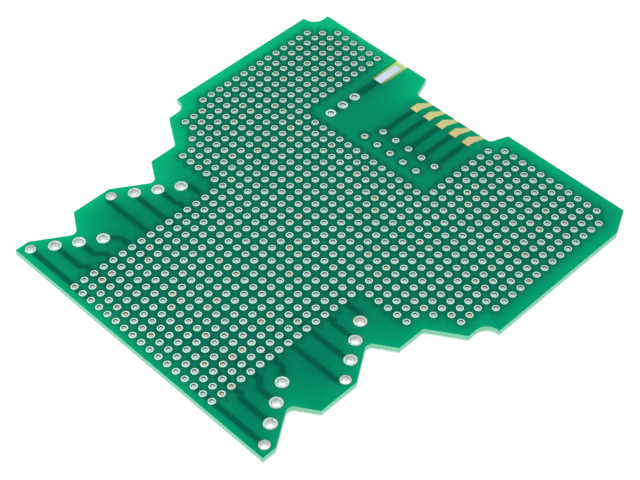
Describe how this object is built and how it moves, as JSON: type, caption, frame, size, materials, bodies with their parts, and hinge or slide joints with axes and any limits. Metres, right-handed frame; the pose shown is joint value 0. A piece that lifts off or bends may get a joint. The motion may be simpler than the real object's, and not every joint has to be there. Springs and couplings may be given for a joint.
{
  "type": "prototyping circuit board",
  "caption": "Bare two-sided prototyping board for a rail-mounted housing: green mask, plated hole grid, gold bus contacts, slanted terminal rows and V-notched sides.",
  "frame": {"origin": "on the underside, at the middle of the board's bounding rectangle", "axes": "+X across the board, +Y towards the edge with the bus contacts, +Z out of the side with the tracks"},
  "size_m": [0.095, 0.099, 0.0016],
  "materials": {
    "laminate": "glass-epoxy laminate, translucent yellow-green, sawn and routed edges",
    "solder_mask": "glossy green liquid solder mask",
    "tinned_copper": "hot-air-levelled tin over copper",
    "copper_track": "etched copper foil under the mask",
    "gold_contact": "gold plating over nickel and copper"
  },
  "bodies": {
    "root": {"laminate_core": "laminate", "solder_mask_bottom": "solder_mask", "solder_mask_top": "solder_mask", "grid_barrels_field": "tinned_copper", "grid_barrels_waist": "tinned_copper", "grid_barrels_shoulder": "tinned_copper", "grid_barrels_hip": "tinned_copper", "grid_barrels_middle": "tinned_copper", "grid_barrels_left_wing": "tinned_copper", "grid_barrels_left_wing_edge": "tinned_copper", "grid_barrels_left_wing_tip": "tinned_copper", "grid_barrels_right_wing": "tinned_copper", "grid_barrels_right_wing_edge": "tinned_copper", "bus_barrels_row_a": "tinned_copper", "bus_barrels_row_b": "tinned_copper", "earth_barrels": "tinned_copper", "terminal_barrels_1": "tinned_copper", "terminal_barrels_2": "tinned_copper", "terminal_barrels_3": "tinned_copper", "terminal_barrels_4": "tinned_copper", "terminal_track_left_1": "copper_track", "terminal_track_left_2": "copper_track", "terminal_track_left_3": "copper_track", "terminal_track_left_4": "copper_track", "terminal_track_left_5": "copper_track", "terminal_track_left_6": "copper_track", "terminal_track_left_7": "copper_track", "terminal_track_left_8": "copper_track", "terminal_track_right_1": "copper_track", "terminal_track_right_2": "copper_track", "terminal_track_right_3": "copper_track", "terminal_track_right_4": "copper_track", "terminal_track_right_5": "copper_track", "terminal_track_right_6": "copper_track", "terminal_track_right_7": "copper_track", "terminal_track_right_8": "copper_track", "bus_track_1": "copper_track", "bus_track_2": "copper_track", "bus_track_3": "copper_track", "bus_track_4": "copper_track", "bus_track_5": "copper_track", "earth_track": "copper_track", "bus_contact_1": "gold_contact", "bus_contact_2": "gold_contact", "bus_contact_3": "gold_contact", "bus_contact_4": "gold_contact", "bus_contact_5": "gold_contact", "earth_contact": "tinned_copper"}
  },
  "joints": []
}
